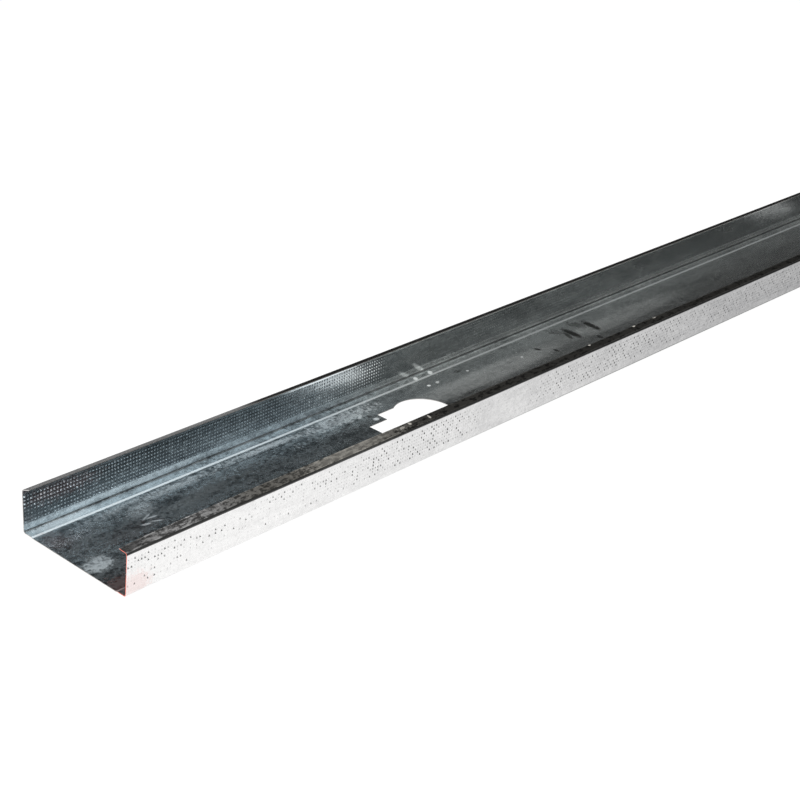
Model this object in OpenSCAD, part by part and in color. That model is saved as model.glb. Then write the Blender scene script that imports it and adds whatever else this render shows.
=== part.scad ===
// Drywall metal stud: one roll-formed C-section of galvanised steel sheet.
// It lies on its web as it would on a floor, with both flanges standing up.
// The stud runs along X, its web lies across Y, and its flanges stand along Z.
// The origin is the centre of the stud's box, on the floor. All sizes are millimetres.

/* [Stud] */
// Length that the stud is sold in
stud_len = 2438.4; // [1828.8:0.1:3657.6]
// Width of the web over the outside of the two flanges, at the floor
web_w = 92.1; // [88:0.1:152.4]
// Height of the flanges over the web's underside
flange_h = 29; // [24:0.1:50]
// Thickness of the sheet
sheet_t = 0.5; // [0.4:0.05:1.2]

/* [Roll forming] */
// Inside radius of every main bend
bend_r = 1.2; // [0.8:0.1:2.5]
// Angle by which each flange leans outwards
flange_flare = 1.5; // [0:0.1:4]
// Width of each flange's stiffening lip
lip_w = 6.8; // [5:0.1:10]
// Angle by which each lip rises towards its free edge
lip_rise = 20; // [0:0.5:25]

/* [Web creases] */
// Width of the raised strip between each flange and its crease
strip_w = 7.4; // [6:0.1:9]
// Height of the raised strips over the middle of the web
strip_rise = 0.4; // [0.2:0.05:0.8]
// Width of each crease's sloping step
crease_w = 1.2; // [1:0.1:1.8]
// Inside radius of the creases' own small bends
crease_r = 0.6; // [0.4:0.1:0.8]

/* [Service holes] */
// Distance from the stud's end to the middle of the first hole
hole_first = 304.8; // [200:0.1:400]
// Distance from one hole's middle to the next
hole_pitch = 609.6; // [300:0.1:800]
// Diameter of the round middle of the hole
hole_d = 44.4; // [40:0.1:48]
// How far the wide window runs from the hole's middle towards the stud's start
window_reach = 27.9; // [24:0.1:32]
// Width of the hole's wide window, across the web
window_w = 38.1; // [34:0.1:39.5]
// How far the narrow slot runs from the hole's middle towards the stud's start
slot_reach = 45.7; // [36:0.1:60]
// Width of the hole's narrow slot, across the web
slot_w = 20; // [16:0.1:30]

/* [Hidden] */

// Facets of the round middle of a hole
$fn = 96;
// How far a hole's cutter runs past each face of the web
cut_over = 2;
// Steps in each main bend, and in each of a crease's small bends
bend_steps = 8;
crease_steps = 2;
// Holes that fit between the two plain ends of the stud
hole_count = floor((stud_len - 2 * hole_first) / hole_pitch) + 1;
// How far each flange's top leans out past the web
flare_y = (flange_h - strip_rise) * tan(flange_flare);

// Unit vector on the left of a heading
function left_of(angle) = [-sin(angle), cos(angle)];
// Heading from one point to another
function heading_to(a, b) = atan2(b.y - a.y, b.x - a.x);
// The signed turn from one heading to the next: positive to the left
function turn(a, b) = (b - a + 540) % 360 - 180;

// Outside half of the section's route, as [corner, inside radius, steps], from a lip's
// free edge over the flange's top, down to the floor and along the web to its crease.
// It is drawn on the positive side of Y.
half_route =
    let (
        bottom = [web_w / 2, strip_rise],
        top = [web_w / 2 + flare_y, flange_h],
        tip = top + lip_w * [-cos(lip_rise), sin(lip_rise)],
        crease_out = bottom - [strip_w, 0],
        crease_in = crease_out - [crease_w, strip_rise]
    )
    [
        [tip, 0, 0],
        [top, bend_r, bend_steps],
        [bottom, bend_r, bend_steps],
        [crease_out, crease_r, crease_steps],
        [crease_in, crease_r, crease_steps]
    ];

// The same half on the negative side of Y
function mirrored(route) = [for (stop = route) [[-stop[0].x, stop[0].y], stop[1], stop[2]]];
function reversed(list) = [for (i = [len(list) - 1 : -1 : 0]) list[i]];

// The whole route of the sheet's outside face, with the inside of the C on its left
route = concat(mirrored(half_route), reversed(half_route));

// Points of one face's arc at a bend. The face lies face_offset to the left of the route.
// Both faces of a bend share one centre, so the sheet keeps its thickness round it.
function bend_arc(before, stop, after, face_offset) =
    let (
        h0 = heading_to(before[0], stop[0]),
        h1 = heading_to(stop[0], after[0]),
        swing = turn(h0, h1),
        centre_side = swing > 0 ? stop[1] + sheet_t : -stop[1],
        centre = stop[0] + centre_side / cos(swing / 2) * left_of(h0 + swing / 2)
    )
    [for (k = [0 : stop[2]]) centre - (centre_side - face_offset) * left_of(h0 + swing * k / stop[2])];

// Points of one whole face of the sheet, from lip edge to lip edge
function face(face_offset) =
    let (
        last = len(route) - 1,
        start = route[0][0],
        end = route[last][0],
        start_side = left_of(heading_to(start, route[1][0])),
        end_side = left_of(heading_to(route[last - 1][0], end))
    )
    concat(
        [start + face_offset * start_side],
        [for (i = [1 : last - 1]) each bend_arc(route[i - 1], route[i], route[i + 1], face_offset)],
        [end + face_offset * end_side]
    );

// The stud's cross-section, with Y across and Z up drawn as the sketch's X and Y
module section() {
    polygon(concat(face(0), reversed(face(sheet_t))));
}

// Outline of one service hole: a round, with a wide window and a narrow slot stepped
// down from it towards the stud's start
module service_hole_outline() {
    circle(d = hole_d);
    translate([-window_reach, -window_w / 2]) square([window_reach, window_w]);
    translate([-slot_reach, -slot_w / 2]) square([slot_reach, slot_w]);
}

// Cutters for all service holes, on the web's centre line
module service_holes() {
    for (i = [0 : hole_count - 1])
        translate([hole_first - stud_len / 2 + i * hole_pitch, 0, -cut_over])
            linear_extrude(sheet_t + 2 * cut_over) service_hole_outline();
}

// The sheet itself: its section run along the stud's length, and its holes punched
module stud() {
    color([0.66, 0.69, 0.72])
        difference() {
            translate([-stud_len / 2, 0, 0])
                rotate([90, 0, 90])
                    linear_extrude(stud_len) section();
            service_holes();
        }
}

stud();
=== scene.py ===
"""Drywall metal stud, dressed for a plain studio picture.

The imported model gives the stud's box. The visible sheet is formed again here with finer
bends and with the knurled bands of both flanges, and it stands for the node stud.
All lengths are metres in the row frame: X along the stud, Y across its web, Z up. Only the
tables of marks are in millimetres.
"""

from __future__ import annotations

import logging
import math
from dataclasses import dataclass
from enum import Enum

import bmesh
import bpy
from mathutils import Matrix, Vector, noise

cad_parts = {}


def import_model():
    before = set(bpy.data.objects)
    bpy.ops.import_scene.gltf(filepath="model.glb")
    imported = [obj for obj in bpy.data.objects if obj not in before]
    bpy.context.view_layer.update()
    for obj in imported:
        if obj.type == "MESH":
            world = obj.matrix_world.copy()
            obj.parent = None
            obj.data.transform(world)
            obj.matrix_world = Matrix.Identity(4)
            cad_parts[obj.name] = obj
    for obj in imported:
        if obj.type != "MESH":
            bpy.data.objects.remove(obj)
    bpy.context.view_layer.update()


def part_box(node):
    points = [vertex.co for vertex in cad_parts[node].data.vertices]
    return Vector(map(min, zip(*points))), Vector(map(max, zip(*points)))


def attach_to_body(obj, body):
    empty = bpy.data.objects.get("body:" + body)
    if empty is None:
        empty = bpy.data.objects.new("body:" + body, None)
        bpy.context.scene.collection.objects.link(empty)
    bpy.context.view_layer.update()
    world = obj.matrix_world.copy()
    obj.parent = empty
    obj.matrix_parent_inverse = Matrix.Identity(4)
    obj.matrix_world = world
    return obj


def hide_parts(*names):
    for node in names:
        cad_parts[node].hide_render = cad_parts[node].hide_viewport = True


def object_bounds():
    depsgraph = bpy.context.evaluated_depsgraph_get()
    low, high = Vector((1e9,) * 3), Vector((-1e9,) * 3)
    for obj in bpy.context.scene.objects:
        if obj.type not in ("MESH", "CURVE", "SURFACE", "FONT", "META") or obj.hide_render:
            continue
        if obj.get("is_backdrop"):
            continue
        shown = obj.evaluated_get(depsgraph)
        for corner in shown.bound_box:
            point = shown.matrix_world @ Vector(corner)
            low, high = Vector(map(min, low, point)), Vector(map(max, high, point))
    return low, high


LOG = logging.getLogger("stud")
MM = 0.001
BODY = "root"
CAD_NODE = "stud"
WELD = 0.001 * MM
COUNT_SLACK = 1e-6
CUT_EDGE_ANGLE = math.radians(35)
PIT_EDGE_ANGLE = math.radians(8)

Socket = bpy.types.NodeSocket
Feed = Socket | float
Pair = tuple[float, float]
Colour = tuple[float, float, float]
Stop = tuple[float, float, float]


class Side(Enum):
    """The two flanges, with the sign of Y on which each one stands."""

    NEAR = -1
    FAR = 1


@dataclass(frozen=True)
class Bend:
    """A corner of the section's route, rounded on the sheet's outside face.

    Args:
        corner: The sharp corner that the bend rounds, as (y, z).
        radius: Radius of the outside face round the bend.
        steps: Flat steps that the bend is made with.
    """

    corner: Vector
    radius: float
    steps: int


@dataclass(frozen=True)
class StudSection:
    """Sizes of the roll-formed section.

    Args:
        length: Length of the stud.
        start_x: Place of the stud's near end along X.
        web_w: Width of the web over the outside of the flanges.
        flange_h: Height of the flanges over the web's underside.
        sheet_t: Thickness of the sheet.
        bend_r: Inside radius of the main bends.
        flare: Angle by which each flange leans outwards.
        lip_w: Width of the stiffening lips.
        lip_rise: Angle by which each lip rises towards its free edge.
        strip_w: Width of the raised strip beside each flange.
        strip_rise: Height of the raised strips.
        crease_w: Width of each crease's slope.
        crease_r: Inside radius of the creases' small bends.
        band_drop: Distance from the flange's top down to its knurled band.
        band_h: Width of the knurled band.
        bend_steps: Flat steps of a main bend.
        crease_steps: Flat steps of a crease's small bend.
    """

    length: float
    start_x: float
    web_w: float = 92.1 * MM
    flange_h: float = 29.0 * MM
    sheet_t: float = 0.5 * MM
    bend_r: float = 1.2 * MM
    flare: float = math.radians(1.5)
    lip_w: float = 6.8 * MM
    lip_rise: float = math.radians(20)
    strip_w: float = 7.4 * MM
    strip_rise: float = 0.4 * MM
    crease_w: float = 1.2 * MM
    crease_r: float = 0.6 * MM
    band_drop: float = 3.6 * MM
    band_h: float = 19.2 * MM
    bend_steps: int = 12
    crease_steps: int = 4

    def flange_foot(self) -> Vector:
        """Returns the sharp outside corner at a flange's foot, as (y, z)."""
        return Vector((self.web_w / 2, self.strip_rise))

    def flange_top(self) -> Vector:
        """Returns the sharp outside corner at a flange's top, as (y, z)."""
        lean = (self.flange_h - self.strip_rise) * math.tan(self.flare)
        return Vector((self.web_w / 2 + lean, self.flange_h))

    def up_the_flange(self) -> Vector:
        """Returns the unit vector from a flange's foot to its top, as (y, z)."""
        return (self.flange_top() - self.flange_foot()).normalized()

    def lip_bends(self, rise: float) -> list[Bend]:
        """Returns the route over a flange's top, from the lip's free edge to the band.

        Args:
            rise: The angle by which the lip rises here.
        """
        lip_way = Vector((-math.cos(rise), math.sin(rise)))
        tip = self.flange_top() + self.lip_w * lip_way
        band_top = self.flange_top() - self.band_drop * self.up_the_flange()
        return [
            Bend(tip, 0, 0),
            Bend(self.flange_top(), self.bend_r + self.sheet_t, self.bend_steps),
            Bend(band_top, 0, 0),
        ]

    def foot_bends(self) -> list[Bend]:
        """Returns the route from the band down round the foot and over the crease."""
        band_foot = self.flange_top() - (self.band_drop + self.band_h) * self.up_the_flange()
        crease_out = self.flange_foot() - Vector((self.strip_w, 0))
        crease_in = crease_out - Vector((self.crease_w, self.strip_rise))
        return [
            Bend(band_foot, 0, 0),
            Bend(self.flange_foot(), self.bend_r + self.sheet_t, self.bend_steps),
            Bend(crease_out, self.crease_r, self.crease_steps),
            Bend(crease_in, self.crease_r + self.sheet_t, self.crease_steps),
            Bend(crease_in - Vector((self.panel_margin(), 0)), 0, 0),
        ]

    def panel_margin(self) -> float:
        """Returns how far past the crease's foot the flat panel of the web begins."""
        return self.crease_w

    def panel_half_w(self) -> float:
        """Returns half the width of the web's flat panel."""
        return self.web_w / 2 - self.strip_w - self.crease_w - self.panel_margin()


@dataclass(frozen=True)
class ServiceHole:
    """Sizes of one punched service hole, and where the holes lie.

    Args:
        first: Distance from the stud's end to the middle of the first hole.
        pitch: Distance from one hole's middle to the next.
        round_r: Radius of the round middle.
        window_reach: How far the wide window runs from the middle to the stud's start.
        window_w: Width of the wide window.
        slot_reach: How far the narrow slot runs from the middle to the stud's start.
        slot_w: Width of the narrow slot.
        round_steps: Steps in the round.
    """

    first: float = 304.8 * MM
    pitch: float = 609.6 * MM
    round_r: float = 22.2 * MM
    window_reach: float = 27.9 * MM
    window_w: float = 38.1 * MM
    slot_reach: float = 45.7 * MM
    slot_w: float = 20.0 * MM
    round_steps: int = 72

    def middles(self, section: StudSection) -> list[float]:
        """Returns the place along X of every hole's middle in a stud of that section."""
        count = int((section.length - 2 * self.first) / self.pitch + COUNT_SLACK) + 1
        return [section.start_x + self.first + i * self.pitch for i in range(count)]


@dataclass(frozen=True)
class LipRun:
    """How a lip's angle changes along the stud.

    Args:
        near: Distances from the start and the lip's rise there, on the near side.
        far: The same on the far side.
    """

    near: tuple[Pair, ...] = (
        (0, 3),
        (5 * MM, 6),
        (12 * MM, 10),
        (22 * MM, 13.5),
        (35 * MM, 16),
        (60 * MM, 18.5),
        (95 * MM, 20),
        (134 * MM, 17),
        (244 * MM, 12),
        (370 * MM, 8),
        (464 * MM, 5),
        (634 * MM, 3),
    )
    far: tuple[Pair, ...] = ((0, 20), (190 * MM, 20), (235 * MM, 16))

    def stations(self, section: StudSection, side: Side) -> list[Pair]:
        """Returns places along X and the lip's rise at each, up to the stud's far end."""
        run = self.near if side is Side.NEAR else self.far
        run += ((section.length, run[-1][1]),)
        return [(section.start_x + along, math.radians(rise)) for along, rise in run]


@dataclass(frozen=True)
class KnurlRun:
    """How deeply the knurling rolls pressed each band along the stud.

    Args:
        near: Distances from the start and the pressure there, from 0 to 1, on the near side.
        far: The same on the far side.
        near_second: How much of its depth every second pit has on the near side.
        patch_waves: Waves in a metre of the uneven patches, along the band and across it.
        tooth_waves: Waves in a metre of the difference from one tooth to the next.
        tooth_share: How much of its depth a pit gains or loses by its tooth.
        uneven: How strong the patches are away from the start.
        uneven_start: How much stronger they are at the start.
        settled: Distance from the start over which they settle.
        full: The share of its depth that an even pit has.
        patch_loss: How much of their strength the patches take off every pit.
        least: The least share of its depth that a pit has.
    """

    near: tuple[Pair, ...] = (
        (0, 1.0),
        (30 * MM, 1.0),
        (80 * MM, 0.9),
        (130 * MM, 0.85),
        (180 * MM, 0.85),
        (215 * MM, 1.0),
        (285 * MM, 1.0),
        (315 * MM, 0.55),
        (350 * MM, 0.5),
        (395 * MM, 0.9),
        (470 * MM, 1.0),
        (560 * MM, 0.85),
    )
    far: tuple[Pair, ...] = (
        (0, 1.0),
        (80 * MM, 0.9),
        (140 * MM, 0.65),
        (190 * MM, 0.75),
        (220 * MM, 1.0),
        (300 * MM, 1.0),
        (316 * MM, 0.12),
        (350 * MM, 0.1),
        (400 * MM, 0.28),
        (560 * MM, 0.3),
        (800 * MM, 0.2),
    )
    near_second: float = 0.6
    patch_waves: Pair = (16, 110)
    tooth_waves: float = 900
    tooth_share: float = 0.3
    uneven: float = 0.2
    uneven_start: float = 0.4
    settled: float = 200 * MM
    full: float = 0.9
    patch_loss: float = 0.3
    least: float = 0.2

    def pressure(self, side: Side, from_start: float) -> float:
        """Returns the pressure at a distance from the stud's start.

        Args:
            side: The band's side.
            from_start: The distance.
        """
        run = self.near if side is Side.NEAR else self.far
        for (before, low), (after, high) in zip(run, run[1:]):
            if from_start < after:
                return low + (high - low) * max(0.0, from_start - before) / (after - before)
        return run[-1][1]

    def share(self, side: Side, column: int, row: int) -> float:
        """Returns the share of its depth that one pit of the grid has."""
        weak = side is Side.NEAR and (column + row) % 2 == 1
        return self.near_second if weak else 1.0

    def unevenness(self, side: Side, place: Vector, from_start: float) -> float:
        """Returns the share of its depth that the rolls' uneven patches and teeth leave a pit.

        Args:
            side: The band's side.
            place: The pit's middle on the flat band.
            from_start: The pit's distance from the stud's start.
        """
        along, across = self.patch_waves
        patch = noise.noise(Vector((place.x * along, place.y * across, side.value)))
        waves = self.tooth_waves
        tooth = noise.cell(Vector((place.x * waves, place.y * waves, side.value))) - 0.5
        uneven = self.uneven + self.uneven_start * max(0.0, 1.0 - from_start / self.settled)
        share = self.full - self.patch_loss * uneven + uneven * patch + self.tooth_share * tooth
        return min(1.0, max(self.least, share))


class EdgePen:
    """Draws a chain of edges in a bmesh by pulling one vertex along a route."""

    def __init__(self, bm: bmesh.types.BMesh, start: Vector) -> None:
        """Puts the chain's first vertex down.

        Args:
            bm: The bmesh that is drawn in.
            start: Place of the first vertex.
        """
        self.bm = bm
        self.vert = bm.verts.new(start)
        self.edges: list[bmesh.types.BMEdge] = []

    def run_to(self, place: Vector) -> None:
        """Pulls a straight edge to a place.

        Args:
            place: The edge's other end.
        """
        made = bmesh.ops.extrude_vert_indiv(self.bm, verts=[self.vert])
        self.vert = made["verts"][0]
        self.edges += made["edges"]
        bmesh.ops.translate(self.bm, verts=[self.vert], vec=place - self.vert.co)

    def turn(self, centre: Vector, axis: Vector, angle: float, steps: int) -> None:
        """Pulls an arc round a centre.

        Args:
            centre: The arc's centre.
            axis: The axis that it turns about.
            angle: The angle that it turns by, by the right-hand rule.
            steps: Straight edges in the arc.
        """
        before = set(self.bm.edges)
        made = bmesh.ops.spin(
            self.bm, geom=[self.vert], cent=centre, axis=axis, angle=angle, steps=steps
        )
        self.vert = next(g for g in made["geom_last"] if isinstance(g, bmesh.types.BMVert))
        self.edges += [edge for edge in self.bm.edges if edge not in before]


def put_in_scene(name: str, data: bpy.types.ID) -> bpy.types.Object:
    """Returns a new object of the scene, made of a mesh, a lamp or a camera."""
    made = bpy.data.objects.new(name, data)
    bpy.context.collection.objects.link(made)
    return made


def finished_mesh(name: str, bm: bmesh.types.BMesh) -> bpy.types.Mesh:
    """Returns a mesh of what a bmesh holds, and frees the bmesh."""
    mesh = bpy.data.meshes.new(name)
    bm.to_mesh(mesh)
    bm.free()
    return mesh


def smooth_and_crisp(mesh: bpy.types.Mesh, sharp_angle: float) -> None:
    """Shades a mesh smooth and keeps its cut edges crisp.

    Args:
        mesh: The mesh.
        sharp_angle: Edges that turn by more than this stay crisp.
    """
    mesh.polygons.foreach_set("use_smooth", [True] * len(mesh.polygons))
    mesh.set_sharp_from_angle(angle=sharp_angle)


@dataclass(frozen=True)
class SheetCoats:
    """The materials of one sheet.

    Args:
        outside: Coat of the face outside the channel.
        inside: Coat of the face inside the channel.
        cut_edge: The sheet's cut edges.
    """

    outside: bpy.types.Material
    inside: bpy.types.Material
    cut_edge: bpy.types.Material


def thicken(
    skin: bpy.types.Object, thickness: float, sharp_angle: float, coats: SheetCoats
) -> None:
    """Gives a skin of the sheet's outside face its thickness, and applies it.

    Args:
        skin: The object whose mesh is the outside face, with normals outwards.
        thickness: The sheet's thickness.
        sharp_angle: Edges that turn by more than this stay crisp.
        coats: The sheet's materials.
    """
    for coat in (coats.outside, coats.inside, coats.cut_edge):
        skin.data.materials.append(coat)
    wall = skin.modifiers.new("sheet", "SOLIDIFY")
    wall.thickness = thickness
    wall.offset = -1
    wall.use_even_offset = True
    wall.material_offset = 1
    wall.material_offset_rim = 2
    graph = bpy.context.evaluated_depsgraph_get()
    closed = bpy.data.meshes.new_from_object(skin.evaluated_get(graph))
    skin.modifiers.clear()
    open_skin = skin.data
    skin.data = closed
    bpy.data.meshes.remove(open_skin)
    smooth_and_crisp(skin.data, sharp_angle)
    flats = skin.modifiers.new("flats", "WEIGHTED_NORMAL")
    flats.keep_sharp = True
    flats.weight = 100


@dataclass
class FormedSheet:
    """The stud's plain sheet: web, creases, service holes, bends and lips.

    Args:
        section: The section's sizes.
        hole: The service holes' sizes.
        coats: The sheet's materials.
    """

    section: StudSection
    hole: ServiceHole
    coats: SheetCoats

    def build(self) -> bpy.types.Object:
        """Returns the closed sheet, without its two knurled bands."""
        bm = bmesh.new()
        section = self.section
        ends = (section.start_x, section.start_x + section.length)
        for side in Side:
            lips = LipRun().stations(section, side)
            self.draw_strip(bm, side, [(x, section.lip_bends(rise)) for x, rise in lips])
            self.draw_strip(bm, side, [(x, section.foot_bends()) for x in ends])
        self.fill_panel(bm)
        bmesh.ops.remove_doubles(bm, verts=bm.verts, dist=WELD)
        self.face_outwards(bm)
        sheet = put_in_scene("stud_sheet", finished_mesh("stud_sheet", bm))
        thicken(sheet, self.section.sheet_t, CUT_EDGE_ANGLE, self.coats)
        return sheet

    def draw_strip(
        self, bm: bmesh.types.BMesh, side: Side, stations: list[tuple[float, list[Bend]]]
    ) -> None:
        """Draws routes of bends at places along the stud, and skins them over.

        Args:
            bm: The bmesh that is drawn in.
            side: The side of the stud.
            stations: Each place along X, and the route there on the positive side of Y.
        """
        routes = [self.draw_route(bm, side, x, bends) for x, bends in stations]
        for first, second in zip(routes, routes[1:]):
            bmesh.ops.bridge_loops(bm, edges=first + second)

    def draw_route(
        self, bm: bmesh.types.BMesh, side: Side, x: float, bends: list[Bend]
    ) -> list[bmesh.types.BMEdge]:
        """Draws one route of bends.

        Args:
            bm: The bmesh that is drawn in.
            side: The side of the stud.
            x: The route's place along the stud.
            bends: The route, on the positive side of Y.

        Returns:
            The route's edges.
        """

        def place(spot: Vector) -> Vector:
            """Returns a place of the section, as (y, z), on this route."""
            return Vector((x, side.value * spot.x, spot.y))

        pen = EdgePen(bm, place(bends[0].corner))
        for before, bend, after in zip(bends, bends[1:], bends[2:]):
            into = (bend.corner - before.corner).normalized()
            out = (after.corner - bend.corner).normalized()
            swing = math.atan2(into.x * out.y - into.y * out.x, into.dot(out))
            setback = bend.radius * math.tan(abs(swing) / 2)
            normal = Vector((-into.y, into.x)) * math.copysign(1, swing)
            centre = bend.corner - into * setback + normal * bend.radius
            pen.run_to(place(bend.corner - into * setback))
            pen.turn(place(centre), Vector((1, 0, 0)), swing * side.value, bend.steps)
        pen.run_to(place(bends[-1].corner))
        return pen.edges

    def fill_panel(self, bm: bmesh.types.BMesh) -> None:
        """Fills the web's flat panel round its service holes.

        Args:
            bm: The bmesh that is drawn in.
        """
        section, half = self.section, self.section.panel_half_w()
        rim = EdgePen(bm, Vector((section.start_x, -half, 0)))
        rim.run_to(Vector((section.start_x + section.length, -half, 0)))
        rim.run_to(Vector((section.start_x + section.length, half, 0)))
        rim.run_to(Vector((section.start_x, half, 0)))
        rim.run_to(Vector((section.start_x, -half, 0)))
        edges = list(rim.edges)
        for middle in self.hole.middles(section):
            edges += self.draw_hole(bm, Vector((middle, 0, 0)))
        verts = list(dict.fromkeys(vert for edge in edges for vert in edge.verts))
        bmesh.ops.remove_doubles(bm, verts=verts, dist=WELD)
        outline = [edge for edge in bm.edges if edge.is_wire]
        bmesh.ops.triangle_fill(bm, use_beauty=True, edges=outline, normal=(0, 0, -1))

    def draw_hole(self, bm: bmesh.types.BMesh, middle: Vector) -> list[bmesh.types.BMEdge]:
        """Draws one service hole's outline.

        Args:
            bm: The bmesh that is drawn in.
            middle: The hole's middle.

        Returns:
            The outline's edges.
        """
        hole = self.hole
        slot_y, window_y = hole.slot_w / 2, hole.window_w / 2
        reach = math.asin(window_y / hole.round_r)
        pen = EdgePen(bm, middle + Vector((-hole.slot_reach, -slot_y, 0)))
        for x, y in [
            (-hole.window_reach, -slot_y),
            (-hole.window_reach, -window_y),
            (-hole.round_r * math.cos(reach), -window_y),
        ]:
            pen.run_to(middle + Vector((x, y, 0)))
        pen.turn(middle, Vector((0, 0, 1)), 2 * (math.pi - reach), hole.round_steps)
        for x, y in [
            (-hole.window_reach, window_y),
            (-hole.window_reach, slot_y),
            (-hole.slot_reach, slot_y),
            (-hole.slot_reach, -slot_y),
        ]:
            pen.run_to(middle + Vector((x, y, 0)))
        return pen.edges

    def face_outwards(self, bm: bmesh.types.BMesh) -> None:
        """Turns every face so that its normal leaves the channel.

        Args:
            bm: The bmesh of the sheet's outside face.
        """
        core = Vector((0, 0, self.section.flange_h / 2))
        for face in bm.faces:
            face.normal_update()
            away = face.calc_center_median() - core
            if face.normal.dot(Vector((0, away.y, away.z))) < 0:
                face.normal_flip()


@dataclass
class KnurledBand:
    """The knurled band of one flange: rows of small pits pressed in from outside.

    Args:
        section: The section's sizes.
        side: The flange that the band belongs to.
        coats: The sheet's materials.
        run: How deeply the rolls pressed along the stud.
        rows: Rows of pits across the band.
        pit_margin: Flat metal left on each side of a pit.
        pit_depth: Depth of the deepest pits.
    """

    section: StudSection
    side: Side
    coats: SheetCoats
    run: KnurlRun = KnurlRun()
    rows: int = 8
    pit_margin: float = 0.6 * MM
    pit_depth: float = 0.4 * MM

    def build(self) -> bpy.types.Object:
        """Returns the closed band in its place on the flange."""
        name = f"{self.side.name.lower()}_knurled_band"
        bm = bmesh.new()
        columns = round(self.section.length * self.rows / self.section.band_h)
        bmesh.ops.create_grid(bm, x_segments=columns, y_segments=self.rows, size=0.5)
        bmesh.ops.scale(bm, verts=bm.verts, vec=(self.section.length, self.section.band_h, 1))
        pit = bm.verts.layers.float.new("pit")
        cells = list(bm.faces)
        bmesh.ops.inset_individual(bm, faces=cells, thickness=self.pit_margin)
        for vert in bmesh.ops.poke(bm, faces=cells)["verts"]:
            vert[pit] = self.pit_strength(vert.co)
            vert.co.z = -self.pit_depth * vert[pit]
        self.stand_up(bm)
        band = put_in_scene(name, finished_mesh(name, bm))
        thicken(band, self.section.sheet_t, PIT_EDGE_ANGLE, self.coats)
        return band

    def pit_strength(self, place: Vector) -> float:
        """Returns how deeply the pit at a place is pressed, from 0 to 1.

        The knurling rolls press unevenly, in patches and from one tooth to the next. The
        far band is turned end for end when it stands up, so its start is at high X here.

        Args:
            place: The pit's middle on the flat band.
        """
        pitch = self.section.band_h / self.rows
        from_start = self.section.length / 2 - self.side.value * place.x
        pressed = self.run.pressure(self.side, from_start)
        column, row = int(from_start / pitch), round(place.y / pitch + self.rows)
        pressed *= self.run.share(self.side, column, row)
        return pressed * self.run.unevenness(self.side, place, from_start)

    def stand_up(self, bm: bmesh.types.BMesh) -> None:
        """Stands the flat band up on its flange, with its pitted face outwards.

        Args:
            bm: The bmesh of the band, flat round the origin with its pits downwards.
        """
        section = self.section
        middle = section.flange_top() - (
            section.band_drop + section.band_h / 2
        ) * section.up_the_flange()
        tilt = self.side.value * (math.pi / 2 + section.flare)
        if self.side is Side.FAR:
            bmesh.ops.rotate(bm, verts=bm.verts, matrix=Matrix.Rotation(math.pi, 3, "Z"))
        bmesh.ops.rotate(bm, verts=bm.verts, matrix=Matrix.Rotation(-tilt, 3, "X"))
        place = (section.start_x + section.length / 2, self.side.value * middle.x, middle.y)
        bmesh.ops.translate(bm, verts=bm.verts, vec=place)


class NodeBench:
    """A node tree with short ways to add its nodes and join them."""

    def __init__(self, tree: bpy.types.NodeTree) -> None:
        """Keeps the tree."""
        self.tree = tree

    def add(self, kind: str, **settings: object) -> bpy.types.Node:
        """Adds a node and sets its properties.

        Args:
            kind: The node's type name, without its ShaderNode prefix.
            settings: Properties of the node and their values.

        Returns:
            The new node.
        """
        node = self.tree.nodes.new("ShaderNode" + kind)
        for name, value in settings.items():
            setattr(node, name, value)
        return node

    def feed(self, socket: Socket, value: Feed | tuple[float, ...]) -> None:
        """Joins a socket to what feeds it, or sets its value."""
        if isinstance(value, Socket):
            self.tree.links.new(value, socket)
        else:
            socket.default_value = value

    def parts(self, vector: Socket) -> bpy.types.NodeOutputs:
        """Returns the parts of a vector, called X, Y and Z."""
        node = self.add("SeparateXYZ")
        self.feed(node.inputs[0], vector)
        return node.outputs

    def maths(self, operation: str, *values: Feed, clamp: bool = False) -> Socket:
        """Returns the result of one mathematical operation on up to three values."""
        node = self.add("Math", operation=operation, use_clamp=clamp)
        for socket, value in zip(node.inputs, values):
            self.feed(socket, value)
        return node.outputs[0]

    def ramp(self, value: Socket, low: Feed, high: Feed, to_low: Feed, to_high: Feed) -> Socket:
        """Returns a value carried smoothly and with a clamp from one range to another."""
        node = self.add("MapRange", interpolation_type="SMOOTHSTEP")
        for socket, given in zip(node.inputs, (value, low, high, to_low, to_high)):
            self.feed(socket, given)
        return node.outputs[0]

    def stretched(self, vector: Socket, scale: tuple[float, float, float]) -> Socket:
        """Returns a vector multiplied by a scale for each axis."""
        node = self.add("Mapping")
        self.feed(node.inputs["Vector"], vector)
        self.feed(node.inputs["Scale"], scale)
        return node.outputs[0]

    def noise(
        self, vector: Socket, scale: float, detail: float, rough: float = 0.5, swirl: float = 0
    ) -> Socket:
        """Returns a noise value about 0.5.

        Args:
            vector: The place that is looked up.
            scale: Waves in a metre.
            detail: Number of finer layers.
            rough: Strength of each finer layer.
            swirl: How far the pattern is stirred.
        """
        node = self.add("TexNoise")
        for label, value in (
            ("Vector", vector),
            ("Scale", scale),
            ("Detail", detail),
            ("Roughness", rough),
            ("Distortion", swirl),
        ):
            self.feed(node.inputs[label], value)
        return node.outputs[0]

    def blend(
        self, factor: Feed, first: Feed | tuple, second: Feed | tuple, how: str = "MIX"
    ) -> Socket:
        """Returns a colour blended from two.

        Args:
            factor: How far the second is blended in.
            first: The first colour.
            second: The second colour.
            how: The way that they are blended.
        """
        node = self.add("Mix", data_type="RGBA", blend_type=how)
        self.feed(node.inputs["Factor"], factor)
        self.feed(node.inputs[6], first)
        self.feed(node.inputs[7], second)
        return node.outputs[2]

    def tint(self, factor: Feed, first: Feed | tuple, second: Feed | tuple) -> Socket:
        """Returns a colour multiplied by another, as far as the factor says."""
        return self.blend(factor, first, second, "MULTIPLY")


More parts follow.
